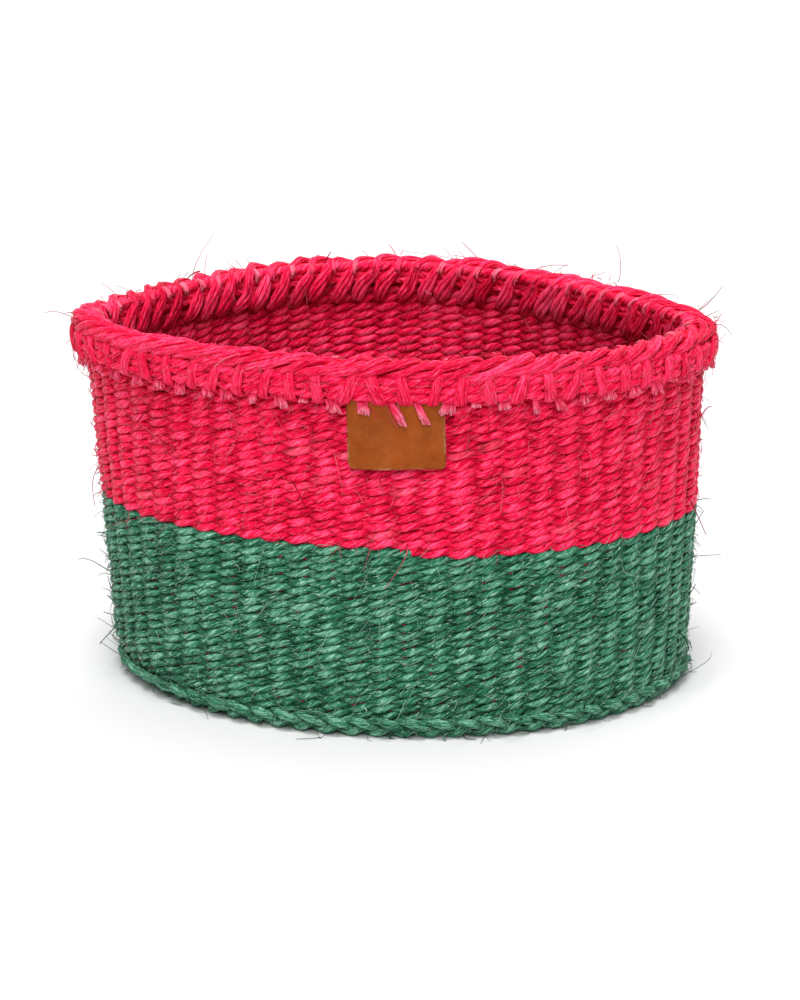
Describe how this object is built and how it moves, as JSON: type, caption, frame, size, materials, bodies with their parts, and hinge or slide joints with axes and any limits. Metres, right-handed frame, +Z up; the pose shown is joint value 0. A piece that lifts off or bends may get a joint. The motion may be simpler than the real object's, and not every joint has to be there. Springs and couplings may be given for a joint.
{
  "type": "twined storage basket",
  "caption": "Free-standing oval storage basket of twined sisal cord, open at the top, with a plaited foot, a thick folded rim and a leather tab.",
  "frame": {"origin": "on the surface that the basket stands on, at the middle of its length and depth", "axes": "+Z up through the mouth, +X from the tight fold to the soft fold, -Y towards the front, where the leather tab hangs"},
  "size_m": [0.2359, 0.1747, 0.1385],
  "materials": {
    "green_sisal": "dyed sisal cord, fibrous, low sheen",
    "pink_sisal": "dyed sisal cord, fibrous, low sheen",
    "crimson_sisal": "dyed sisal cord, fibrous, matte",
    "tan_leather": "vegetable-tanned leather, worn edges, bare"
  },
  "bodies": {
    "root": {"base_under_weft": "green_sisal", "base_over_weft": "green_sisal", "foot_plait": "green_sisal", "green_outer_weft": "green_sisal", "green_inner_weft": "green_sisal", "pink_outer_weft": "pink_sisal", "pink_inner_weft": "pink_sisal", "rim_braid": "pink_sisal", "rim_outer_band": "pink_sisal", "rim_inner_wraps": "pink_sisal", "leather_tab": "tan_leather", "warp_01": "crimson_sisal", "warp_02": "crimson_sisal", "warp_03": "crimson_sisal", "warp_04": "crimson_sisal", "warp_05": "crimson_sisal", "warp_06": "crimson_sisal", "warp_07": "crimson_sisal", "warp_08": "crimson_sisal", "warp_09": "crimson_sisal", "warp_10": "crimson_sisal", "warp_11": "crimson_sisal", "warp_12": "crimson_sisal", "warp_13": "crimson_sisal", "warp_14": "crimson_sisal", "warp_15": "crimson_sisal", "warp_16": "crimson_sisal", "warp_17": "crimson_sisal", "warp_18": "crimson_sisal", "warp_19": "crimson_sisal", "warp_20": "crimson_sisal", "warp_21": "crimson_sisal", "warp_22": "crimson_sisal", "warp_23": "crimson_sisal", "warp_24": "crimson_sisal", "warp_25": "crimson_sisal", "warp_26": "crimson_sisal", "warp_27": "crimson_sisal", "warp_28": "crimson_sisal", "warp_29": "crimson_sisal", "warp_30": "crimson_sisal", "warp_31": "crimson_sisal", "warp_32": "crimson_sisal"}
  },
  "joints": []
}
